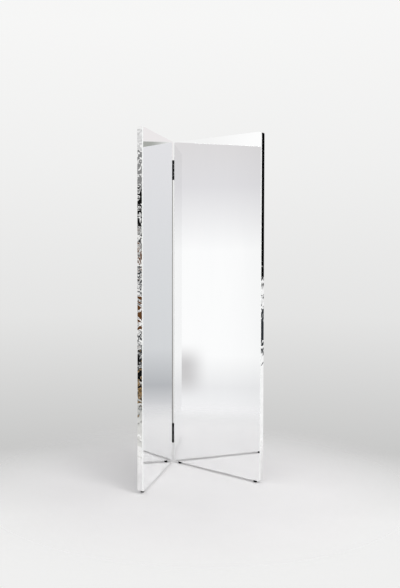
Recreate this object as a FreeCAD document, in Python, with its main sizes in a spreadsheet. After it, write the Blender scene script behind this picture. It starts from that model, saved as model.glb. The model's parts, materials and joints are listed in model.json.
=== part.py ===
import FreeCAD, Part
import math
import os

import Sketcher
from FreeCAD import Vector

# Folding floor mirror: two tall mirror panels joined along one upright edge by two butt hinges.
# Each panel is drawn in its own frame: x runs along the panel from the hinge axis, y runs from
# the hinge axis towards the panel's back (reversed on the left panel), and z runs up from the floor.

# Driving dimensions in millimetres, degrees and counts.
DIMENSIONS = {
    # panel outline and how far the panels stand open
    "panel_width": 585,
    "panel_height": 1787,
    "panel_depth": 30,
    "corner_radius": 12,
    "fold_angle": 63,
    # mirror glass over the whole face, with its edges eased, and the polished band behind it
    "glass_thickness": 6,
    "glass_arris": 0.8,
    "band_wall": 2,
    "back_arris": 1,
    # layers inside the band, front to back
    "edge_clearance": 0.5,
    "tape_thickness": 1,
    "tape_width": 25,
    "tape_margin": 60,
    "tape_count": 4,
    "back_thickness": 2,
    "back_recess": 1,
    # countersunk screws that hold the back panel
    "back_screw_radius": 1.75,
    "back_screw_head": 3.6,
    "back_screw_length": 15,
    "back_screw_inset": 20,
    "back_screw_rows": 6,
    "back_socket": 1.5,
    "back_socket_depth": 1.2,
    # butt hinges
    "hinge_length": 106,
    "hinge_inset": 103,
    "axis_proud": 1.5,
    "barrel_radius": 3.5,
    "knuckle_clearance": 0.4,
    "leaf_width": 24,
    "leaf_thickness": 2,
    "leaf_gap": 4,
    "pin_radius": 1.75,
    "pin_head_radius": 3.2,
    "pin_head_height": 2,
    "washer_radius": 3.2,
    "washer_thickness": 0.8,
    "running_clearance": 0.05,
    "axial_clearance": 0.1,
    # countersunk machine screws that hold the hinge leaves, and their tapped plates
    "hinge_screw_radius": 1.75,
    "hinge_screw_head": 3.4,
    "hinge_screw_length": 14,
    "hinge_screw_stagger": 2,
    "countersink_angle": 90,
    "screw_clearance": 0.25,
    "thread_clearance": 0.03,
    "nut_plate_thickness": 4,
    "nut_plate_width": 11,
    "mortise_clearance": 0.5,
    "mortise_depth": 11,
    # rubber feet, each moulded on a threaded stud that screws into an insert
    "foot_height": 13,
    "foot_radius": 9,
    "foot_round": 2.5,
    "outer_foot_inset": 38,
    "hinge_foot_inset": 32,
    "stud_radius": 3,
    "stud_flange": 6,
    "stud_flange_thickness": 2,
    "stud_cover": 5,
    "insert_radius": 5,
    "insert_length": 16,
}

# Counts that the hinge's layout is built on.
KNUCKLES = 5
LEAF_SCREWS = 4

# Places and sizes that follow from the driving dimensions.
DERIVED = {
    "half_fold": "dims.fold_angle / 2",
    "panel_start": "dims.leaf_gap / 2 + dims.leaf_thickness",
    "panel_end": "panel_start + dims.panel_width",
    "panel_bottom": "dims.foot_height",
    "panel_top": "dims.foot_height + dims.panel_height",
    "panel_back": "dims.axis_proud + dims.panel_depth",
    "panel_mid": "dims.axis_proud + dims.panel_depth / 2",
    "glass_back": "dims.axis_proud + dims.glass_thickness",
    "band_depth": "dims.panel_depth - dims.glass_thickness",
    "board_front": "glass_back + dims.tape_thickness",
    "back_front": "panel_back - dims.back_recess - dims.back_thickness",
    "back_face": "panel_back - dims.back_recess",
    "board_thickness": "back_front - board_front",
    "layer_inset": "dims.band_wall + dims.edge_clearance",
    "layer_start": "panel_start + layer_inset",
    "layer_end": "panel_end - layer_inset",
    "layer_bottom": "panel_bottom + layer_inset",
    "layer_top": "panel_top - layer_inset",
    "tape_start": "layer_start + dims.tape_margin",
    "tape_run": "layer_end - layer_start - 2 * dims.tape_margin - dims.tape_width",
    "back_screw_near": "layer_start + dims.back_screw_inset",
    "back_screw_far": "layer_end - dims.back_screw_inset",
    "back_screw_bottom": "layer_bottom + dims.back_screw_inset",
    "back_screw_rise": "layer_top - layer_bottom - 2 * dims.back_screw_inset",
    "knuckle_gap": "dims.washer_thickness + dims.axial_clearance",
    "knuckle_pitch": f"(dims.hinge_length + knuckle_gap) / {KNUCKLES}",
    "knuckle_length": "knuckle_pitch - knuckle_gap",
    "lower_hinge": "panel_bottom + dims.hinge_inset",
    "upper_hinge": "panel_top - dims.hinge_inset - dims.hinge_length",
    "hinge_screw_line": "(board_front + dims.leaf_width) / 2",
    "hinge_screw_pitch": f"dims.hinge_length / {LEAF_SCREWS}",
    "nut_plate_start": "panel_start + dims.band_wall",
    "outer_foot": "panel_end - dims.outer_foot_inset",
    "hinge_foot": "panel_start + dims.hinge_foot_inset",
    "insert_bottom": "panel_bottom + dims.band_wall",
    "insert_top": "insert_bottom + dims.insert_length",
    "stud_flange_top": "dims.foot_height - dims.stud_cover",
    "stud_flange_bottom": "stud_flange_top - dims.stud_flange_thickness",
    # the part's outline in plan, measured from the hinge axis, which sets the origin at its middle
    "plan_back": "(panel_back - dims.back_arris) * sin(half_fold)"
                 " - (panel_start + dims.back_arris) * cos(half_fold) + dims.back_arris",
    "plan_front": "(panel_end - dims.glass_arris) * cos(half_fold)"
                  " - (dims.axis_proud + dims.glass_arris) * sin(half_fold) + dims.glass_arris",
    "hinge_axis_y": "(plan_front - plan_back) / 2",
}

RIGHT, LEFT = 1, -1
SIDES = {"right": RIGHT, "left": LEFT}
HINGES = {"upper": "fit.upper_hinge", "lower": "fit.lower_hinge"}
LOWEST_BACK_SCREWS = [
    ("fit.back_screw_near", "fit.back_screw_bottom"),
    ("fit.back_screw_far", "fit.back_screw_bottom"),
]
FEET = {RIGHT: {"outer": "fit.outer_foot", "hinge": "fit.hinge_foot"}, LEFT: {"outer": "fit.outer_foot"}}

# Smallest volume a cut has to remove, in cubic millimetres, and how near a plane an edge has to lie.
SMALLEST_CUT = 0.1
PLANE_TOLERANCE = 1e-4

doc = FreeCAD.newDocument("folding_floor_mirror")


def fill_sheet(name, cells):
    """Writes one row per value: its name, the value as text, and the name again as the alias."""
    sheet = doc.addObject("Spreadsheet::Sheet", name)
    for row, (alias, text) in enumerate(cells.items(), 1):
        sheet.set(f"A{row}", alias)
        sheet.set(f"B{row}", text)
        sheet.setAlias(f"B{row}", alias)
    doc.recompute()
    return sheet


dims = fill_sheet("dims", {name: str(value) for name, value in DIMENSIONS.items()})
fit = fill_sheet("fit", {name: "=" + formula for name, formula in DERIVED.items()})


def number(expression):
    """The present value of an expression over the two sheets."""
    return float(fit.evalExpression(expression))


# Sketches


def origin_item(body, role):
    return next(item for item in body.Origin.OriginFeatures if item.Role == role)


def new_sketch(body, name, plane, across="0", up="0", out="0"):
    """A sketch on one of the body's origin planes, moved by expressions in its own axes."""
    sketch = body.newObject("Sketcher::SketchObject", name)
    sketch.AttachmentSupport = (origin_item(body, plane), [""])
    sketch.MapMode = "FlatFace"
    for axis, expression in zip("xyz", (across, up, out)):
        sketch.setExpression(f"AttachmentOffset.Base.{axis}", expression)
    return sketch


def dimension(sketch, name, constraint, expression):
    """Adds a named dimension to a sketch and ties it to an expression."""
    index = sketch.addConstraint(constraint)
    sketch.renameConstraint(index, name)
    sketch.setExpression(f"Constraints.{name}", expression)


def outline(sketch, points, arcs=()):
    """A closed outline through points given as pairs of expressions, run anticlockwise. A side
    named in arcs is a quarter circle that leaves the side before it smoothly, and the others are
    straight."""
    places = [Vector(number(x), number(y), 0) for x, y in points]
    ends = places[1:] + places[:1]
    sides = []
    for index, (start, end) in enumerate(zip(places, ends)):
        if index in arcs:
            sides.append(quarter_arc(start, end))
        else:
            sides.append(Part.LineSegment(start, end))
    ids = sketch.addGeometry(sides, False)
    for index, (x, y) in enumerate(points):
        side, place = ids[index], places[index]
        joint = "Tangent" if index in arcs else "Coincident"
        sketch.addConstraint(Sketcher.Constraint(joint, ids[index - 1], 2, side, 1))
        dimension(sketch, f"x{index}", Sketcher.Constraint("DistanceX", -1, 1, side, 1, place.x), x)
        dimension(sketch, f"y{index}", Sketcher.Constraint("DistanceY", -1, 1, side, 1, place.y), y)


def quarter_arc(start, end):
    """Anticlockwise quarter circle from start to end."""
    chord = end - start
    middle = (start + end) * 0.5
    centre = middle + Vector(-chord.y, chord.x, 0) * 0.5
    circle = Part.Circle(centre, Vector(0, 0, 1), chord.Length / math.sqrt(2))
    first = math.atan2(start.y - centre.y, start.x - centre.x)
    return Part.ArcOfCircle(circle, first, first + math.pi / 2)


def rectangle(sketch, left, right, bottom, top):
    outline(sketch, [(left, bottom), (right, bottom), (right, top), (left, top)])


def rounded_rectangle(sketch, left, right, bottom, top, radius):
    """An upright rectangle whose corners are quarter circles."""
    outline(
        sketch,
        [
            (f"{left} + {radius}", bottom), (f"{right} - ({radius})", bottom),
            (right, f"{bottom} + {radius}"), (right, f"{top} - ({radius})"),
            (f"{right} - ({radius})", top), (f"{left} + {radius}", top),
            (left, f"{top} - ({radius})"), (left, f"{bottom} + {radius}"),
        ],
        arcs=(1, 3, 5, 7),
    )


def circles(sketch, centres, radius):
    """Equal circles, each with its centre given as a pair of expressions."""
    for x, y in centres:
        centre = Vector(number(x), number(y), 0)
        ring = sketch.addGeometry(Part.Circle(centre, Vector(0, 0, 1), number(radius)), False)
        dimension(sketch, f"r{ring}", Sketcher.Constraint("Radius", ring, number(radius)), radius)
        dimension(sketch, f"x{ring}", Sketcher.Constraint("DistanceX", -1, 1, ring, 3, centre.x), x)
        dimension(sketch, f"y{ring}", Sketcher.Constraint("DistanceY", -1, 1, ring, 3, centre.y), y)


# Features


def new_body(label):
    body = doc.addObject("PartDesign::Body", label)
    body.Label = label
    return body


def extrude(kind, sketch, length, reverse=False):
    """A Pad or a Pocket of a sketch. A Pad grows along the sketch's normal and a Pocket cuts
    against it, unless reverse is set."""
    body = sketch.getParentGeoFeatureGroup()
    feature = body.newObject(f"PartDesign::{kind}", f"{sketch.Name}_{kind.lower()}")
    feature.Profile = sketch
    feature.setExpression("Length", length)
    feature.Reversed = reverse
    doc.recompute()
    return feature


def cut(sketch, length, reverse=False):
    """A Pocket that has to remove material."""
    body = sketch.getParentGeoFeatureGroup()
    before = body.Shape.Volume
    feature = extrude("Pocket", sketch, length, reverse)
    confirm_cut(feature, before)
    return feature


def confirm_cut(feature, before):
    """Stops if a cut left its body's volume as it was."""
    body = feature.getParentGeoFeatureGroup()
    if before - body.Shape.Volume < SMALLEST_CUT:
        raise RuntimeError(f"{feature.Name} removes nothing from {body.Label}")


def revolve(sketch, axis):
    body = sketch.getParentGeoFeatureGroup()
    feature = body.newObject("PartDesign::Revolution", f"{sketch.Name}_turned")
    feature.Profile = sketch
    feature.ReferenceAxis = (sketch, [axis])
    feature.Angle = 360
    doc.recompute()
    return feature


def row(features, axis, length, count):
    """Repeats features in a row along one of the body's origin axes."""
    body = features[0].getParentGeoFeatureGroup()
    pattern = body.newObject("PartDesign::LinearPattern", f"{features[0].Name}_row")
    pattern.Originals = features
    pattern.Direction = (origin_item(body, axis), [""])
    pattern.setExpression("Length", length)
    pattern.setExpression("Occurrences", count)
    body.Tip = pattern
    doc.recompute()
    return pattern


def round_edges(base, radius, chosen):
    """Rounds every edge of a feature that the test picks."""
    body = base.getParentGeoFeatureGroup()
    edges = [f"Edge{index}" for index, edge in enumerate(base.Shape.Edges, 1) if chosen(edge)]
    fillet = body.newObject("PartDesign::Fillet", f"{base.Name}_round{len(body.Group)}")
    fillet.Base = (base, edges)
    fillet.setExpression("Radius", radius)
    doc.recompute()
    return fillet


def on_plane(axis, place):
    """A test for edges that lie wholly in a plane square to one axis."""
    def lies_in_plane(edge):
        return all(abs(getattr(point, axis) - place) < PLANE_TOLERANCE for point in edge.discretize(3))

    return lies_in_plane


# Panel pieces


def layer_sketch(body, name, side, front, inset):
    """The panel's rounded outline, drawn in by inset, in the plane at the front distance."""
    sketch = new_sketch(body, f"{body.Label}_{name}", "XZ_Plane", out=f"{-side} * {front}")
    rounded_rectangle(
        sketch,
        f"fit.panel_start + {inset}", f"fit.panel_end - {inset}",
        f"fit.panel_bottom + {inset}", f"fit.panel_top - {inset}",
        f"dims.corner_radius - {inset}",
    )
    return sketch


def layer(body, name, side, front, thickness, inset="fit.layer_inset"):
    """A sheet with the panel's outline, from the front distance towards the back."""
    sketch = layer_sketch(body, name, side, front, inset)
    return extrude("Pad", sketch, thickness, reverse=side == RIGHT)


def layer_cut(body, name, side, front, depth, inset):
    """A cut with the panel's outline, from the front distance towards the back."""
    return cut(layer_sketch(body, name, side, front, inset), depth, reverse=side == LEFT)


def hinge_screw_centres(side):
    """Where the screws of both hinges cross the panel's hinge edge, as y and z."""
    centres = []
    for base in HINGES.values():
        centres += leaf_screw_centres(side, base)
    return centres


def leaf_screw_centres(side, base):
    """Four screws up a leaf, staggered either side of the screw line."""
    return [
        (
            f"{side} * (fit.hinge_screw_line + {(-1) ** index} * dims.hinge_screw_stagger)",
            f"{base} + {index + 0.5} * fit.hinge_screw_pitch",
        )
        for index in range(LEAF_SCREWS)
    ]


def edge_holes(body, name, start, depth, radius, centres):
    """Round holes that run along x from a face of the panel's hinge edge."""
    sketch = new_sketch(body, f"{body.Label}_{name}", "YZ_Plane", out=start)
    circles(sketch, centres, radius)
    return cut(sketch, depth, reverse=True)


def bottom_holes(body, name, side, start, depth, radius):
    """Round holes that run up from the panel's bottom, one over each foot."""
    sketch = new_sketch(body, f"{body.Label}_{name}", "XY_Plane", out=start)
    circles(sketch, [(x, f"{side} * fit.panel_mid") for x in FEET[side].values()], radius)
    return cut(sketch, depth, reverse=True)


def back_screw_row(features):
    """Repeats what is made at the lowest back screws up the whole panel."""
    return row(features, "Z_Axis", "fit.back_screw_rise", "dims.back_screw_rows")


def make_mirror(name, side):
    """Glass sheet over the whole face of the panel, its front and back edges eased."""
    body = new_body(f"{name}_mirror_glass")
    sheet = layer(body, "sheet", side, "dims.axis_proud", "dims.glass_thickness", inset="0")
    front = side * number("dims.axis_proud")
    back = side * number("fit.glass_back")
    eased = round_edges(sheet, "dims.glass_arris", on_plane("y", front))
    round_edges(eased, "dims.glass_arris", on_plane("y", back))
    return body


def make_band(name, side):
    """Ring of metal strip on edge round the panel, behind the glass."""
    body = new_body(f"{name}_edge_band")
    blank = layer(body, "blank", side, "fit.glass_back", "fit.band_depth", inset="0")
    round_edges(blank, "dims.back_arris", on_plane("y", side * number("fit.panel_back")))
    layer_cut(body, "opening", side, "fit.glass_back", "fit.band_depth", "dims.band_wall")
    radius = "dims.hinge_screw_radius + dims.screw_clearance"
    centres = hinge_screw_centres(side)
    edge_holes(body, "hinge_holes", "fit.panel_start", "dims.band_wall", radius, centres)
    radius = "dims.stud_radius + dims.screw_clearance"
    bottom_holes(body, "foot_holes", side, "fit.panel_bottom", "dims.band_wall", radius)
    return body


def make_tape(name, side):
    """Upright foam-tape strips that bond the glass to its backing board."""
    body = new_body(f"{name}_mirror_tape")
    sketch = new_sketch(body, f"{body.Label}_strip", "XZ_Plane", out=f"{-side} * fit.glass_back")
    rectangle(
        sketch,
        "fit.tape_start", "fit.tape_start + dims.tape_width",
        "fit.layer_bottom + dims.tape_margin", "fit.layer_top - dims.tape_margin",
    )
    strip = extrude("Pad", sketch, "dims.tape_thickness", reverse=side == RIGHT)
    row([strip], "X_Axis", "fit.tape_run", "dims.tape_count")
    return body


def make_board(name, side):
    """Backing board, with mortises for the hinge plates and holes for inserts and screws."""
    body = new_body(f"{name}_backing_board")
    layer(body, "sheet", side, "fit.board_front", "fit.board_thickness")
    for hinge, base in HINGES.items():
        sketch = new_sketch(body, f"{body.Label}_{hinge}_mortise", "YZ_Plane", out="fit.layer_start")
        half = "(dims.nut_plate_width / 2 + dims.mortise_clearance)"
        rectangle(
            sketch,
            f"{side} * fit.hinge_screw_line - {half}", f"{side} * fit.hinge_screw_line + {half}",
            f"{base} - dims.mortise_clearance", f"{base} + dims.hinge_length + dims.mortise_clearance",
        )
        cut(sketch, "dims.mortise_depth", reverse=True)
    bottom_holes(body, "insert_holes", side, "fit.layer_bottom", "dims.insert_length", "dims.insert_radius")
    sketch = new_sketch(body, f"{body.Label}_pilots", "XZ_Plane", out=f"{-side} * fit.back_front")
    circles(sketch, LOWEST_BACK_SCREWS, "dims.back_screw_radius + dims.thread_clearance")
    pilots = cut(sketch, "dims.back_screw_length - dims.back_thickness", reverse=side == RIGHT)
    back_screw_row([pilots])
    return body


def make_back_panel(name, side):
    """Back sheet inside the band, with countersunk screw holes."""
    body = new_body(f"{name}_back_panel")
    layer(body, "sheet", side, "fit.back_front", "dims.back_thickness")
    sketch = new_sketch(body, f"{body.Label}_holes", "XZ_Plane", out=f"{-side} * fit.back_face")
    circles(sketch, LOWEST_BACK_SCREWS, "dims.back_screw_radius + dims.thread_clearance")
    holes = countersink(sketch, "dims.back_screw_radius", "dims.back_screw_head", reverse=side == RIGHT)
    back_screw_row([holes])
    return body


def countersink(sketch, shank, head, reverse):
    """Countersunk through holes on a sketch's circles, a thread clearance wider than the screw."""
    body = sketch.getParentGeoFeatureGroup()
    before = body.Shape.Volume
    hole = body.newObject("PartDesign::Hole", f"{sketch.Name}_countersunk")
    hole.Profile = sketch
    doc.recompute()
    hole.Threaded = False
    hole.DepthType = "ThroughAll"
    hole.HoleCutType = "Countersink"
    hole.HoleCutCustomValues = True
    hole.setExpression("Diameter", f"2 * ({shank} + dims.thread_clearance)")
    hole.setExpression("HoleCutDiameter", f"2 * ({head} + dims.thread_clearance)")
    hole.setExpression("HoleCutCountersinkAngle", "dims.countersink_angle")
    hole.Reversed = reverse
    doc.recompute()
    confirm_cut(hole, before)
    return hole


def countersunk_screw(sketch, direction, radius, head, length):
    """Half outline of a countersunk screw whose head face is at the sketch's origin and whose
    shank runs along the sketch's x axis, or against it where direction is negative."""
    cone = f"({head} - {radius}) / tan(dims.countersink_angle / 2)"
    outline(
        sketch,
        [
            ("0", "0"),
            (f"{direction} * {length}", "0"),
            (f"{direction} * {length}", radius),
            (f"{direction} * {cone}", radius),
            ("0", head),
        ],
    )
    return revolve(sketch, "H_Axis")


def make_back_screws(name, side):
    body = new_body(f"{name}_back_screws")
    for column, (x, z) in enumerate(LOWEST_BACK_SCREWS):
        sketch = new_sketch(
            body, f"{body.Label}_profile{column}", "YZ_Plane",
            across=f"{side} * fit.back_face", up=z, out=x,
        )
        screw = countersunk_screw(
            sketch, -side, "dims.back_screw_radius", "dims.back_screw_head", "dims.back_screw_length"
        )
        socket = new_sketch(
            body, f"{body.Label}_socket{column}", "XZ_Plane",
            across=x, up=z, out=f"{-side} * fit.back_face",
        )
        hexagon(socket, "dims.back_socket")
        recess = cut(socket, "dims.back_socket_depth", reverse=side == RIGHT)
        back_screw_row([screw, recess])
    return body


def hexagon(sketch, radius):
    """Regular hexagon about the sketch's origin, its corners on a circle of the radius."""
    outline(sketch, [(f"{radius} * cos({60 * turn})", f"{radius} * sin({60 * turn})") for turn in range(6)])


# Hinges


def make_leaf(hinge, name, side, base):
    """Hinge leaf: a plate on the panel's edge with its share of the knuckles, notched at the others."""
    body = new_body(f"{hinge}_hinge_{name}_leaf")
    sketch = new_sketch(body, f"{body.Label}_plate", "XY_Plane", out=base)
    rectangle(sketch, "dims.leaf_gap / 2", "fit.panel_start", "0", f"{side} * dims.leaf_width")
    extrude("Pad", sketch, "dims.hinge_length")
    for index in range(KNUCKLES):
        foot = f"{base} + {index} * fit.knuckle_pitch"
        own = (index % 2 == 0) == (side == RIGHT)
        label = f"{body.Label}_knuckle{index}"
        if own:
            sketch = new_sketch(body, label, "XY_Plane", out=foot)
            circles(sketch, [("0", "0")], "dims.barrel_radius")
            extrude("Pad", sketch, "fit.knuckle_length")
        else:
            sketch = new_sketch(body, label, "XY_Plane", out=f"{foot} - fit.knuckle_gap")
            clear = f"{side} * (dims.barrel_radius + dims.knuckle_clearance)"
            rectangle(sketch, "0", "fit.panel_start", "0", clear)
            cut(sketch, "fit.knuckle_length + 2 * fit.knuckle_gap", reverse=True)
    sketch = new_sketch(body, f"{body.Label}_bore", "XY_Plane", out=base)
    circles(sketch, [("0", "0")], "dims.pin_radius + dims.running_clearance")
    cut(sketch, "dims.hinge_length", reverse=True)
    sketch = new_sketch(body, f"{body.Label}_holes", "YZ_Plane", out="dims.leaf_gap / 2")
    circles(sketch, leaf_screw_centres(side, base), "dims.hinge_screw_radius + dims.thread_clearance")
    countersink(sketch, "dims.hinge_screw_radius", "dims.hinge_screw_head", reverse=True)
    return body


def make_pin(hinge, base):
    """Hinge pin with a rounded head at each end."""
    body = new_body(f"{hinge}_hinge_pin")
    sketch = new_sketch(body, f"{body.Label}_profile", "XZ_Plane", up=base)
    crown = "(dims.pin_head_height / 2)"
    outline(
        sketch,
        [
            ("0", "-dims.pin_head_height"),
            (f"dims.pin_head_radius - {crown}", "-dims.pin_head_height"),
            ("dims.pin_head_radius", f"-{crown}"),
            ("dims.pin_head_radius", "0"),
            ("dims.pin_radius", "0"),
            ("dims.pin_radius", "dims.hinge_length"),
            ("dims.pin_head_radius", "dims.hinge_length"),
            ("dims.pin_head_radius", f"dims.hinge_length + {crown}"),
            (f"dims.pin_head_radius - {crown}", "dims.hinge_length + dims.pin_head_height"),
            ("0", "dims.hinge_length + dims.pin_head_height"),
        ],
        arcs=(1, 7),
    )
    revolve(sketch, "V_Axis")
    return body


def make_washers(hinge, base):
    """Thin washers on the pin, one between each two knuckles."""
    body = new_body(f"{hinge}_hinge_washers")
    sketch = new_sketch(body, f"{body.Label}_ring", "XY_Plane", out=f"{base} + fit.knuckle_length")
    circles(sketch, [("0", "0")], "dims.washer_radius")
    circles(sketch, [("0", "0")], "dims.pin_radius + dims.running_clearance")
    ring = extrude("Pad", sketch, "dims.washer_thickness")
    row([ring], "Z_Axis", f"{KNUCKLES - 2} * fit.knuckle_pitch", f"{KNUCKLES - 1}")
    return body


def make_hinge_screws(hinge, name, side, base):
    body = new_body(f"{hinge}_hinge_{name}_screws")
    for index, (y, z) in enumerate(leaf_screw_centres(side, base)):
        sketch = new_sketch(
            body, f"{body.Label}_profile{index}", "XZ_Plane",
            across="dims.leaf_gap / 2", up=z, out=f"-1 * {y}",
        )
        countersunk_screw(
            sketch, 1, "dims.hinge_screw_radius", "dims.hinge_screw_head", "dims.hinge_screw_length"
        )
    return body


def make_nut_plate(hinge, name, side, base):
    """Tapped plate inside the band that takes one leaf's screws."""
    body = new_body(f"{name}_{hinge}_nut_plate")
    sketch = new_sketch(body, f"{body.Label}_bar", "YZ_Plane", out="fit.nut_plate_start")
    half = "dims.nut_plate_width / 2"
    rectangle(
        sketch,
        f"{side} * fit.hinge_screw_line - {half}", f"{side} * fit.hinge_screw_line + {half}",
        base, f"{base} + dims.hinge_length",
    )
    extrude("Pad", sketch, "dims.nut_plate_thickness")
    radius = "dims.hinge_screw_radius + dims.thread_clearance"
    centres = leaf_screw_centres(side, base)
    edge_holes(body, "threads", "fit.nut_plate_start", "dims.nut_plate_thickness", radius, centres)
    return body


# Feet


def turned_at_foot(body, name, side, x, points, arcs=()):
    """Adds a turned piece on the upright axis of one foot."""
    sketch = new_sketch(
        body, f"{body.Label}_{name}", "XZ_Plane", across=x, out=f"{-side} * fit.panel_mid"
    )
    outline(sketch, points, arcs)
    return revolve(sketch, "V_Axis")


def make_foot(name, side, place, x):
    """Rubber foot moulded round the stud's flange, with a rounded bottom edge."""
    body = new_body(f"{name}_{place}_foot")
    points = [
        ("0", "0"),
        ("dims.foot_radius - dims.foot_round", "0"),
        ("dims.foot_radius", "dims.foot_round"),
        ("dims.foot_radius", "dims.foot_height"),
        ("dims.stud_radius", "dims.foot_height"),
        ("dims.stud_radius", "fit.stud_flange_top"),
        ("dims.stud_flange", "fit.stud_flange_top"),
        ("dims.stud_flange", "fit.stud_flange_bottom"),
        ("0", "fit.stud_flange_bottom"),
    ]
    turned_at_foot(body, "profile", side, x, points, arcs=(1,))
    return body


def make_studs(name, side):
    body = new_body(f"{name}_foot_studs")
    for place, x in FEET[side].items():
        points = [
            ("0", "fit.stud_flange_bottom"),
            ("dims.stud_flange", "fit.stud_flange_bottom"),
            ("dims.stud_flange", "fit.stud_flange_top"),
            ("dims.stud_radius", "fit.stud_flange_top"),
            ("dims.stud_radius", "fit.insert_top"),
            ("0", "fit.insert_top"),
        ]
        turned_at_foot(body, place, side, x, points)
    return body


def make_inserts(name, side):
    """Threaded inserts in the bottom of the backing board."""
    body = new_body(f"{name}_foot_inserts")
    for place, x in FEET[side].items():
        bore = "dims.stud_radius + dims.thread_clearance"
        points = [
            (bore, "fit.insert_bottom"),
            ("dims.insert_radius", "fit.insert_bottom"),
            ("dims.insert_radius", "fit.insert_top"),
            (bore, "fit.insert_top"),
        ]
        turned_at_foot(body, place, side, x, points)
    return body


# Assembly


def stand(body, side):
    """Turns a piece about the upright hinge axis to its panel's place."""
    turn = "fit.half_fold - 90" if side == RIGHT else "-90 - fit.half_fold"
    body.setExpression("Placement.Rotation.Angle", turn)
    body.setExpression("Placement.Base.y", "fit.hinge_axis_y")


def make_panel(name, side):
    pieces = [make(name, side) for make in (make_mirror, make_band, make_tape, make_board)]
    pieces += [make_back_panel(name, side), make_back_screws(name, side)]
    pieces += [make_foot(name, side, place, x) for place, x in FEET[side].items()]
    pieces += [make_studs(name, side), make_inserts(name, side)]
    for hinge, base in HINGES.items():
        pieces.append(make_leaf(hinge, name, side, base))
        pieces.append(make_hinge_screws(hinge, name, side, base))
        pieces.append(make_nut_plate(hinge, name, side, base))
        if side == RIGHT:
            pieces += [make_pin(hinge, base), make_washers(hinge, base)]
    for piece in pieces:
        stand(piece, side)
    return pieces


def check(pieces):
    """Stops if any object failed or any piece is not made of valid solids."""
    for item in doc.Objects:
        if {"Invalid", "Error"} & set(item.State):
            raise RuntimeError(f"{item.Name} failed: {item.State}")
    for piece in pieces:
        shape = piece.Shape
        if shape.isNull() or not shape.isValid() or not shape.Solids:
            raise RuntimeError(f"{piece.Label} has no valid solid")


def export(pieces):
    os.makedirs("parts", exist_ok=True)
    for piece in pieces:
        piece.Shape.exportStep(os.path.join("parts", f"{piece.Label}.step"))
        print(f"{piece.Label}: {len(piece.Shape.Solids)} solids, {piece.Shape.Volume / 1000:.2f} cm3")


def main():
    pieces = [piece for name, side in SIDES.items() for piece in make_panel(name, side)]
    doc.recompute()
    check(pieces)
    export(pieces)


main()
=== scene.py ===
import json
import math

import bmesh
import bpy
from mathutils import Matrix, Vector

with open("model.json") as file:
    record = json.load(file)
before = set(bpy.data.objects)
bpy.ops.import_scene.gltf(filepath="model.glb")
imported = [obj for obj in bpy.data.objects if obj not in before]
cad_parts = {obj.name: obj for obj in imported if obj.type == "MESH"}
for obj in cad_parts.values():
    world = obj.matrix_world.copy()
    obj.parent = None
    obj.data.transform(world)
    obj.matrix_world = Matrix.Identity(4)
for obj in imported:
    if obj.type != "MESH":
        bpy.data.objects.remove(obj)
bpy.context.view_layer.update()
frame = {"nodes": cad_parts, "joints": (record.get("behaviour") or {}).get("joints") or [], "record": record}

# The hinge axis in plan, from the frame's only joint.
HINGE = Vector(frame["joints"][0]["pos_m"][:2])

# The photograph's camera: how far ahead of it and to its right the hinge axis stands, its height, heading
# (from +Y towards +X) and downward pitch, and in pixels its focal length, the place its lens looks at and the
# picture's width and height.
HINGE_AHEAD = 4.3242
HINGE_ASIDE = 0.1111
CAMERA_HEIGHT = 1.2158
CAMERA_HEADING = math.radians(15.717)
CAMERA_PITCH = math.radians(1.899)
FOCAL_PIXELS = 772.8
LENS_CENTRE = (153.5, 272.6)
PICTURE = (400, 588)
SENSOR_HEIGHT = 36.0

# Plan directions: the way the camera looks, and its right.
AHEAD = Vector((math.sin(CAMERA_HEADING), math.cos(CAMERA_HEADING)))
ASIDE = Vector((math.cos(CAMERA_HEADING), -math.sin(CAMERA_HEADING)))
CAMERA = HINGE - HINGE_AHEAD * AHEAD - HINGE_ASIDE * ASIDE

# Light of the even sky, where 1 lights a white surface to white.
SKY_LIGHT = 0.66

# A round pale floor, mottled down to a share of its colour. It is solid up to the first distance of its fade
# and gone at the second.
FLOOR_COLOUR = (0.94, 0.93, 0.935)
FLOOR_MOTTLE = 0.965
FLOOR_CENTRE = (0.0, -0.1, 0.0)
FLOOR_RADIUS = 1.5
FLOOR_FADE = (0.5, 1.4)
FLOOR_SEGMENTS = 96

WHITE = (1.0, 1.0, 1.0)
GREY = (0.26, 0.26, 0.26)
BLACK = (0.006, 0.006, 0.006)
SLATE = (0.022, 0.026, 0.030)
BROWN = (0.12, 0.053, 0.020)
OCHRE = (0.38, 0.23, 0.080)

# Tones up the backdrop and two of the studio's cards: pairs of a height (degrees above level) and a colour.
# The backdrop darkens from pale high up to a grey band about 14 degrees below level: painted shade, as at the
# foot of a wall.
SHADED_BACKDROP = [
    (-19.0, (0.87, 0.87, 0.865)),
    (-14.5, (0.58, 0.58, 0.575)),
    (-11.0, (0.65, 0.65, 0.645)),
    (-5.0, (0.78, 0.78, 0.775)),
    (6.0, (0.87, 0.87, 0.865)),
    (16.0, (0.925, 0.925, 0.92)),
]
BRIGHT_CARD = [
    # painted shade low down, as at the foot of a wall
    (-14.5, (0.50, 0.50, 0.51)),
    (-12.0, (0.91, 0.91, 0.92)),
    (-10.3, (0.85, 0.85, 0.86)),
    (-8.0, WHITE),
    (-0.3, WHITE),
    (4.5, (0.76, 0.75, 0.77)),
    (9.0, (0.72, 0.70, 0.70)),
    (12.0, (0.72, 0.70, 0.70)),
    (18.0, WHITE),
]
COOL_CARD = [
    # painted shade low down, with a dip of it at about 10 degrees below level
    (-14.5, (0.50, 0.50, 0.51)),
    (-11.8, (0.69, 0.69, 0.705)),
    (-10.2, (0.48, 0.49, 0.51)),
    (-7.5, (0.68, 0.69, 0.705)),
    (-4.0, (0.705, 0.715, 0.73)),
    (7.2, (0.79, 0.785, 0.805)),
    (11.0, (0.79, 0.785, 0.805)),
    (18.0, WHITE),
]


def dimmed(tones, share):
    return [(height, tuple(share * part for part in rgb)) for height, rgb in tones]


def plain(rgb):
    return [(0.0, rgb)]


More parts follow.
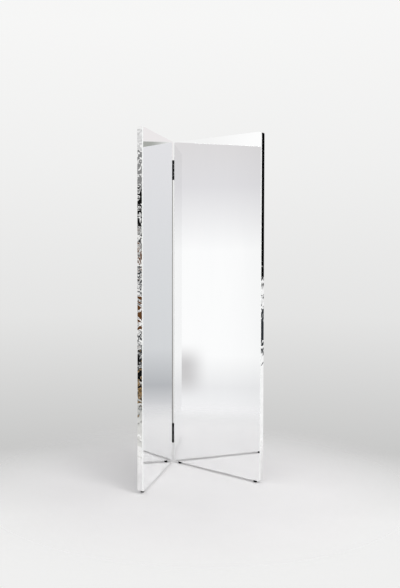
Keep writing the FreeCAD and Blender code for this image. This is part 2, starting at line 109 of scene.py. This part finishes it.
# The studio that the mirrors and polished metal show, as cards round the object. Each has its span of
# bearings (degrees to the right of the way to the camera), its span of heights, how soft its ends are, and
# its tones. A later card is in front of an earlier one. LOW and HIGH are the ends of a full-height card.
LOW = -40
HIGH = 60
CARDS = [
    # pale card behind the object, with a dark one low in front of it that is painted shade low down behind
    # the object
    (128, 232, LOW, HIGH, 10, plain((0.84, 0.81, 0.815))),
    (138, 164, LOW, 5.5, 1.5, [(-12.0, (0.17, 0.165, 0.16)), (-2.0, (0.30, 0.295, 0.285))]),
    # white cards to the left, and a dim one high up beside them
    (-115, -55, LOW, HIGH, 8, [(-14.0, (0.68, 0.68, 0.675)), (-6.0, (0.92, 0.92, 0.915))]),
    (-78.5, -60, LOW, HIGH, 5, [(-14.0, (0.74, 0.74, 0.735)), (-6.0, WHITE)]),
    (-53.2, -42, 3, 14, 2, plain((0.40, 0.41, 0.385))),
    # cool card that the left mirror shows, dimmer towards the floor with painted shade
    (6, 38, LOW, HIGH, 5, COOL_CARD),
    # bright card that the right mirror shows, dimmer at its left end and with a soft shade low on it
    (38, 84, LOW, HIGH, 3, BRIGHT_CARD),
    (38, 48.6, LOW, HIGH, 4, dimmed(BRIGHT_CARD, 0.945)),
    (52.2, 58, -10.4, -7.9, 1.9, plain((0.62, 0.61, 0.615))),
    # white card to the right, black from about level upwards and with a dark bar lower down
    (80, 130, LOW, HIGH, 2, plain(WHITE)),
    (80, 130, -2.7, HIGH, 1, plain((0.002, 0.002, 0.002))),
    (80, 130, -7.6, -4.4, 1, plain((0.03, 0.035, 0.04))),
    # pale card to the left of the camera, greyer at its top and near the floor
    (-42, -20, LOW, HIGH, 2, plain((0.96, 0.96, 0.95))),
    (-40, -22, 7.3, 9.6, 0.6, [(7.4, (0.58, 0.58, 0.58)), (8.8, (0.90, 0.90, 0.90))]),
    (-40, -22, -14.6, -11.6, 0.4, [
        (-13.8, (0.72, 0.72, 0.70)), (-12.4, (0.62, 0.62, 0.60)), (-11.7, (0.46, 0.46, 0.44)),
    ]),
]

# Boards across that pale card: the lowest and highest height of each, and its colour.
BOARD_BEARINGS = (-40, -22)
BOARD_SOFT = 0.4
BOARDS = [
    (4.5, 6.6, GREY),
    (2.5, 4.0, BLACK),
    (1.2, 1.9, BLACK),
    (0.2, 0.7, BLACK),
    (-1.1, -0.2, BROWN),
    (-2.6, -1.6, SLATE),
    (-3.5, -3.0, SLATE),
    (-5.6, -4.0, BROWN),
    (-7.0, -6.5, SLATE),
    (-8.0, -7.4, SLATE),
    (-10.0, -8.1, BLACK),
    (-11.2, -10.0, OCHRE),
    (-10.8, -10.4, SLATE),
    (-11.6, -11.2, BLACK),
]
CARDS += [(*BOARD_BEARINGS, bottom, top, BOARD_SOFT, plain(rgb)) for bottom, top, rgb in BOARDS]

# The span of heights in which tones change, and the bearing where the cards start and end, in degrees.
TONE_HEIGHTS = (-20.0, 20.0)
CARDS_START = -128.0
FULL_TURN = 360.0

# Places of a Mix node's sockets for colours, whose names its sockets of other types share.
MIX_FIRST = 6
MIX_SECOND = 7
MIX_RESULT = 2

# Faces of the glass this square to the sheet belong to its silvered front and back.
FLAT_FACE = 0.98


# Node helpers


def put(tree, socket, value):
    """Links a socket to another one, or sets it to a value."""
    if isinstance(value, bpy.types.NodeSocket):
        tree.links.new(value, socket)
    else:
        socket.default_value = value


def add(tree, kind, inputs=None, **settings):
    """Adds a node, sets its properties, and fills its inputs with values or with other sockets."""
    node = tree.nodes.new(kind)
    for name, value in settings.items():
        setattr(node, name, value)
    for name, value in (inputs or {}).items():
        put(tree, node.inputs[name], value)
    return node


def colour(rgb):
    return (*rgb, 1.0)


def object_coordinates(tree, stretch=(1, 1, 1)):
    """Object coordinates in metres, scaled by stretch."""
    place = add(tree, "ShaderNodeTexCoord")
    mapping = add(tree, "ShaderNodeMapping", {"Vector": place.outputs["Object"], "Scale": stretch})
    return mapping.outputs["Vector"]


def noise(tree, vector, scale, detail=4.0, roughness=0.55, distortion=0.0):
    texture = add(tree, "ShaderNodeTexNoise", {
        "Vector": vector, "Scale": scale, "Detail": detail, "Roughness": roughness, "Distortion": distortion,
    })
    return texture.outputs["Fac"]


def spread(tree, value, low, high, start=0.0, end=1.0):
    """Maps a value from the range low..high to start..end."""
    ranged = add(tree, "ShaderNodeMapRange", {
        "Value": value, "From Min": low, "From Max": high, "To Min": start, "To Max": end,
    })
    return ranged.outputs["Result"]


def ramp(tree, factor, stops):
    """A colour ramp whose stops are pairs of a place and a colour."""
    node = add(tree, "ShaderNodeValToRGB", {"Fac": factor})
    elements = node.color_ramp.elements
    while len(elements) < len(stops):
        elements.new(0.5)
    while len(elements) > len(stops):
        elements.remove(elements[-1])
    for element, (place, rgb) in zip(elements, stops):
        element.position = place
        element.color = colour(rgb)
    return node.outputs["Color"]


def bump(tree, height, strength, distance):
    node = add(tree, "ShaderNodeBump", {"Height": height, "Strength": strength, "Distance": distance})
    return node.outputs["Normal"]


def new_material(name):
    """A material with its Principled shader, returned with its tree."""
    material = bpy.data.materials.new(name)
    material.use_nodes = True
    tree = material.node_tree
    return material, tree, tree.nodes["Principled BSDF"]


def fill(tree, shader, **inputs):
    """Sets or links inputs of a shader, named with underscores for spaces."""
    for name, value in inputs.items():
        put(tree, shader.inputs[name.replace("_", " ")], value)


def math_node(tree, operation, *values):
    node = add(tree, "ShaderNodeMath", operation=operation)
    for socket, value in zip(node.inputs, values):
        put(tree, socket, value)
    return node.outputs["Value"]


def rising(tree, value, low, high):
    """Rises smoothly from 0 to 1 as a value goes from low to high."""
    node = add(
        tree, "ShaderNodeMapRange", {"Value": value, "From Min": low, "From Max": high},
        interpolation_type="SMOOTHSTEP",
    )
    return node.outputs["Result"]


def window(tree, value, low, high, soft):
    """1 between low and high and 0 outside, with ends as wide as soft."""
    half = soft / 2
    opening = rising(tree, value, low - half, low + half)
    closing = rising(tree, value, high - half, high + half)
    return math_node(tree, "SUBTRACT", opening, closing)


def mix_colours(tree, factor, first, second):
    """The first colour where the factor is 0, and the second where it is 1."""
    node = add(
        tree, "ShaderNodeMix", {"Factor": factor, MIX_FIRST: first, MIX_SECOND: second}, data_type="RGBA"
    )
    return node.outputs[MIX_RESULT]


def mix_shaders(tree, factor, first, second):
    """The first shader where the factor is 0, and the second where it is 1."""
    return add(tree, "ShaderNodeMixShader", {0: factor, 1: first, 2: second}).outputs["Shader"]


# Materials


def silvered_mirror():
    """Silvered float glass: nearly flat, with the faintest roll of the sheet and thin wiping marks."""
    material, tree, shader = new_material("silvered_mirror")
    where = object_coordinates(tree)
    roll = noise(tree, where, scale=2.2, detail=1.0)
    wiping = noise(tree, object_coordinates(tree, (1.0, 1.0, 0.25)), scale=14.0, detail=5.0)
    fill(
        tree, shader,
        Base_Color=ramp(tree, wiping, [(0.35, (0.98, 0.983, 0.985)), (0.7, (0.987, 0.989, 0.99))]),
        Metallic=1.0,
        Roughness=spread(tree, wiping, 0.4, 0.8, 0.0, 0.012),
        Normal=bump(tree, roll, strength=0.02, distance=0.001),
    )
    return material


def polished_edge():
    """Mirror-polished metal with an uneven, hand-finished surface."""
    material, tree, shader = new_material("polished_edge")
    where = object_coordinates(tree, (1.0, 1.0, 0.8))
    dents = noise(tree, where, scale=26.0, detail=1.0, roughness=0.5, distortion=1.0)
    stain = noise(tree, object_coordinates(tree), scale=26.0, detail=6.0, roughness=0.65)
    fill(
        tree, shader,
        Base_Color=ramp(tree, stain, [(0.3, (0.86, 0.86, 0.86)), (0.62, (0.95, 0.95, 0.95))]),
        Metallic=1.0,
        Roughness=spread(tree, stain, 0.4, 0.8, 0.0, 0.03),
        Normal=bump(tree, dents, strength=1.0, distance=0.0007),
    )
    return material


def glass_edge():
    """Polished edge of the glass: pale, with a faint green cast and small chips."""
    material, tree, shader = new_material("glass_edge")
    where = object_coordinates(tree)
    chips = noise(tree, where, scale=240.0, detail=4.0, roughness=0.7)
    cast = noise(tree, where, scale=9.0, detail=3.0)
    fill(
        tree, shader,
        Base_Color=ramp(tree, cast, [(0.35, (0.93, 0.955, 0.945)), (0.65, (0.965, 0.97, 0.968))]),
        Roughness=spread(tree, chips, 0.35, 0.8, 0.06, 0.3),
        Normal=bump(tree, chips, strength=0.15, distance=0.0003),
        IOR=1.52,
    )
    return material


def brushed_back():
    """Brushed aluminium, its grain running up the panel."""
    material, tree, shader = new_material("brushed_back")
    grain = noise(tree, object_coordinates(tree, (1.0, 1.0, 0.012)), scale=900.0, detail=3.0)
    cloud = noise(tree, object_coordinates(tree), scale=3.5, detail=4.0)
    tone = add(tree, "ShaderNodeMix", {"A": grain, "B": cloud, "Factor": 0.35}, data_type="FLOAT")
    fill(
        tree, shader,
        Base_Color=ramp(
            tree, tone.outputs["Result"], [(0.3, (0.62, 0.63, 0.64)), (0.7, (0.80, 0.805, 0.81))]
        ),
        Metallic=1.0,
        Roughness=spread(tree, grain, 0.25, 0.75, 0.26, 0.42),
        Anisotropic=0.5,
        Normal=bump(tree, grain, strength=0.12, distance=0.0002),
    )
    return material


def satin_black():
    """Black painted steel with a fine orange-peel skin."""
    material, tree, shader = new_material("satin_black")
    peel = noise(tree, object_coordinates(tree), scale=700.0, detail=2.0)
    wear = noise(tree, object_coordinates(tree), scale=90.0, detail=5.0, roughness=0.7)
    fill(
        tree, shader,
        Base_Color=ramp(tree, wear, [(0.45, (0.003, 0.003, 0.0035)), (0.8, (0.012, 0.011, 0.011))]),
        Roughness=spread(tree, wear, 0.3, 0.8, 0.4, 0.6),
        Specular_IOR_Level=0.12,
        Normal=bump(tree, peel, strength=0.15, distance=0.0001),
    )
    return material


def black_rubber():
    material, tree, shader = new_material("black_rubber")
    grain = noise(tree, object_coordinates(tree), scale=1500.0, detail=3.0)
    dust = noise(tree, object_coordinates(tree), scale=180.0, detail=5.0, roughness=0.7)
    fill(
        tree, shader,
        Base_Color=ramp(tree, dust, [(0.5, (0.002, 0.002, 0.002)), (0.85, (0.010, 0.0095, 0.009))]),
        Roughness=spread(tree, grain, 0.2, 0.8, 0.62, 0.85),
        Specular_IOR_Level=0.08,
        Normal=bump(tree, grain, strength=0.25, distance=0.0001),
    )
    return material


def zinc_plate():
    """Zinc-plated steel with a faint blue and yellow bloom."""
    material, tree, shader = new_material("zinc_plate")
    bloom = noise(tree, object_coordinates(tree), scale=160.0, detail=4.0)
    fill(
        tree, shader,
        Base_Color=ramp(
            tree, bloom, [(0.3, (0.55, 0.57, 0.62)), (0.55, (0.66, 0.66, 0.66)), (0.8, (0.70, 0.67, 0.58))]
        ),
        Metallic=1.0,
        Roughness=spread(tree, bloom, 0.3, 0.8, 0.24, 0.4),
        Normal=bump(tree, bloom, strength=0.08, distance=0.0001),
    )
    return material


def machined_brass():
    material, tree, shader = new_material("machined_brass")
    rings = noise(tree, object_coordinates(tree, (0.05, 0.05, 1.0)), scale=2500.0, detail=2.0)
    fill(
        tree, shader,
        Base_Color=ramp(tree, rings, [(0.3, (0.62, 0.46, 0.19)), (0.7, (0.80, 0.63, 0.31))]),
        Metallic=1.0,
        Roughness=spread(tree, rings, 0.2, 0.8, 0.2, 0.36),
        Normal=bump(tree, rings, strength=0.15, distance=0.0001),
    )
    return material


def fibreboard():
    """Raw fibreboard: short pale and brown fibres."""
    material, tree, shader = new_material("fibreboard")
    fibres = noise(tree, object_coordinates(tree), scale=420.0, detail=6.0, roughness=0.75)
    cloud = noise(tree, object_coordinates(tree), scale=8.0, detail=3.0)
    tone = add(tree, "ShaderNodeMix", {"A": fibres, "B": cloud, "Factor": 0.3}, data_type="FLOAT")
    fill(
        tree, shader,
        Base_Color=ramp(
            tree, tone.outputs["Result"], [(0.3, (0.36, 0.25, 0.15)), (0.7, (0.60, 0.46, 0.31))]
        ),
        Roughness=spread(tree, fibres, 0.2, 0.8, 0.75, 0.95),
        Normal=bump(tree, fibres, strength=0.3, distance=0.0002),
    )
    return material


def foam_tape():
    material, tree, shader = new_material("foam_tape")
    cells = add(tree, "ShaderNodeTexVoronoi", {"Vector": object_coordinates(tree), "Scale": 1800.0})
    depth = cells.outputs["Distance"]
    fill(
        tree, shader,
        Base_Color=ramp(tree, depth, [(0.1, (0.02, 0.02, 0.021)), (0.8, (0.09, 0.09, 0.092))]),
        Roughness=spread(tree, depth, 0.0, 0.8, 0.95, 0.8),
        Normal=bump(tree, depth, strength=0.4, distance=0.0002),
    )
    return material


def dress_nodes():
    """Gives every CAD node the material that its record slot names."""
    finishes = {
        "mirror": silvered_mirror(),
        "band": polished_edge(),
        "back": brushed_back(),
        "hinge": satin_black(),
        "foot": black_rubber(),
        "fixings": zinc_plate(),
        "brass": machined_brass(),
        "board": fibreboard(),
        "tape": foam_tape(),
    }
    edge = glass_edge()
    for part in frame["record"]["subparts"]:
        mesh = frame["nodes"][part["node"]].data
        mesh.materials.clear()
        mesh.materials.append(finishes[part["material_slot"]])
        if part["material_slot"] == "mirror":
            dress_glass_edge(mesh, edge)


def dress_glass_edge(mesh, edge):
    """Gives the faces round the edge of a glass sheet their own material."""
    mesh.materials.append(edge)
    edge_slot = len(mesh.materials) - 1
    sheet = max(mesh.polygons, key=lambda face: face.area).normal
    for face in mesh.polygons:
        if abs(face.normal.dot(sheet)) < FLAT_FACE:
            face.material_index = edge_slot


# Stage


def floor_material():
    """Pale matt floor that thins out with distance, so that the backdrop takes over."""
    material, tree, shader = new_material("floor")
    place = add(tree, "ShaderNodeTexCoord").outputs["Object"]
    mottle = noise(tree, place, scale=1.3, detail=5.0)
    darker = tuple(FLOOR_MOTTLE * part for part in FLOOR_COLOUR)
    fill(
        tree, shader,
        Base_Color=ramp(tree, mottle, [(0.35, darker), (0.65, FLOOR_COLOUR)]),
        Roughness=0.85,
        Specular_IOR_Level=0.2,
    )
    distance = add(tree, "ShaderNodeVectorMath", {0: place}, operation="LENGTH").outputs["Value"]
    clear = add(tree, "ShaderNodeBsdfTransparent")
    shown = mix_shaders(
        tree, rising(tree, distance, *FLOOR_FADE), shader.outputs["BSDF"], clear.outputs["BSDF"]
    )
    tree.links.new(shown, tree.nodes["Material Output"].inputs["Surface"])
    return material


def make_floor():
    mesh = bpy.data.meshes.new("floor")
    shape = bmesh.new()
    bmesh.ops.create_circle(shape, cap_ends=True, segments=FLOOR_SEGMENTS, radius=FLOOR_RADIUS)
    shape.to_mesh(mesh)
    shape.free()
    floor = bpy.data.objects.new("floor", mesh)
    floor.location = FLOOR_CENTRE
    bpy.context.collection.objects.link(floor)
    floor.data.materials.append(floor_material())


def sight(tree):
    """The bearing and height in degrees of each direction of the world."""
    way = add(tree, "ShaderNodeTexCoord").outputs["Generated"]

    def along(direction):
        dot = add(tree, "ShaderNodeVectorMath", {0: way, 1: (*direction, 0.0)}, operation="DOT_PRODUCT")
        return dot.outputs["Value"]

    to_camera = (CAMERA - HINGE).normalized()
    to_right = Vector((-to_camera.y, to_camera.x))
    turn = math_node(tree, "ARCTAN2", along(to_right), along(to_camera))
    turn = math_node(tree, "DEGREES", turn)
    bearing = math_node(tree, "WRAP", turn, CARDS_START + FULL_TURN, CARDS_START)
    upward = add(tree, "ShaderNodeSeparateXYZ", {"Vector": way}).outputs["Z"]
    height = math_node(tree, "DEGREES", math_node(tree, "ARCSINE", upward))
    return bearing, height


def tone_at(tree, height, tones):
    """The colour at a height on a card whose tones are pairs of a height and a colour."""
    low, high = TONE_HEIGHTS
    stops = [((level - low) / (high - low), rgb) for level, rgb in tones]
    return ramp(tree, spread(tree, height, low, high), stops)


def studio_tones(tree, bearing, height):
    """The colour of the studio round the object: its cards in front of the backdrop."""
    tone = tone_at(tree, height, SHADED_BACKDROP)
    for left, right, bottom, top, soft, tones in CARDS:
        across = window(tree, bearing, left, right, soft)
        upright = window(tree, height, bottom, top, soft)
        covered = math_node(tree, "MULTIPLY", across, upright)
        tone = mix_colours(tree, covered, tone, tone_at(tree, height, tones))
    return tone


def background(tree, rgb):
    return add(tree, "ShaderNodeBackground", {"Color": rgb, "Strength": 1.0}).outputs["Background"]


def make_world():
    """Even sky light, a pale backdrop with painted shade low down for camera rays, and the studio for what
    mirrors and glass show.
    """
    world = bpy.data.worlds.new("studio")
    world.use_nodes = True
    bpy.context.scene.world = world
    tree = world.node_tree
    sky = tree.nodes["Background"]
    fill(tree, sky, Color=colour(WHITE), Strength=SKY_LIGHT)
    bearing, height = sight(tree)
    backdrop = background(tree, tone_at(tree, height, SHADED_BACKDROP))
    studio = background(tree, studio_tones(tree, bearing, height))
    path = add(tree, "ShaderNodeLightPath").outputs
    mirrored = math_node(tree, "MAXIMUM", path["Is Glossy Ray"], path["Is Transmission Ray"])
    unseen = mix_shaders(tree, mirrored, sky.outputs["Background"], studio)
    shown = mix_shaders(tree, path["Is Camera Ray"], unseen, backdrop)
    tree.links.new(shown, tree.nodes["World Output"].inputs["Surface"])


def make_lamp(name, place, aim, size, power, mirrored):
    """A soft square lamp, whose light the mirrors throw on if it is mirrored."""
    data = bpy.data.lights.new(name, "AREA")
    data.shape = "SQUARE"
    data.size = size
    data.energy = power
    lamp = bpy.data.objects.new(name, data)
    lamp.location = place
    lamp.rotation_euler = (Vector(aim) - Vector(place)).to_track_quat("-Z", "Y").to_euler()
    lamp.visible_glossy = mirrored
    bpy.context.collection.objects.link(lamp)


def make_camera():
    width, height = PICTURE
    data = bpy.data.cameras.new("camera")
    data.sensor_fit = "VERTICAL"
    data.sensor_height = SENSOR_HEIGHT
    data.lens = SENSOR_HEIGHT * FOCAL_PIXELS / height
    data.shift_x = (width / 2 - LENS_CENTRE[0]) / height
    data.shift_y = (LENS_CENTRE[1] - height / 2) / height
    camera = bpy.data.objects.new("camera", data)
    camera.location = (*CAMERA, CAMERA_HEIGHT)
    camera.rotation_euler = (math.pi / 2 - CAMERA_PITCH, 0.0, -CAMERA_HEADING)
    bpy.context.collection.objects.link(camera)
    bpy.context.scene.camera = camera


make_camera()
dress_nodes()
make_floor()
make_world()
make_lamp("key", place=(1.3, -3.4, 4.0), aim=(0.1, -0.2, 0.2), size=2.0, power=66.0, mirrored=True)
make_lamp("front", place=(-0.8, -6.0, 1.45), aim=(0.0, 0.0, 0.3), size=2.0, power=60.0, mirrored=False)

bpy.context.scene.view_settings.view_transform = "Standard"
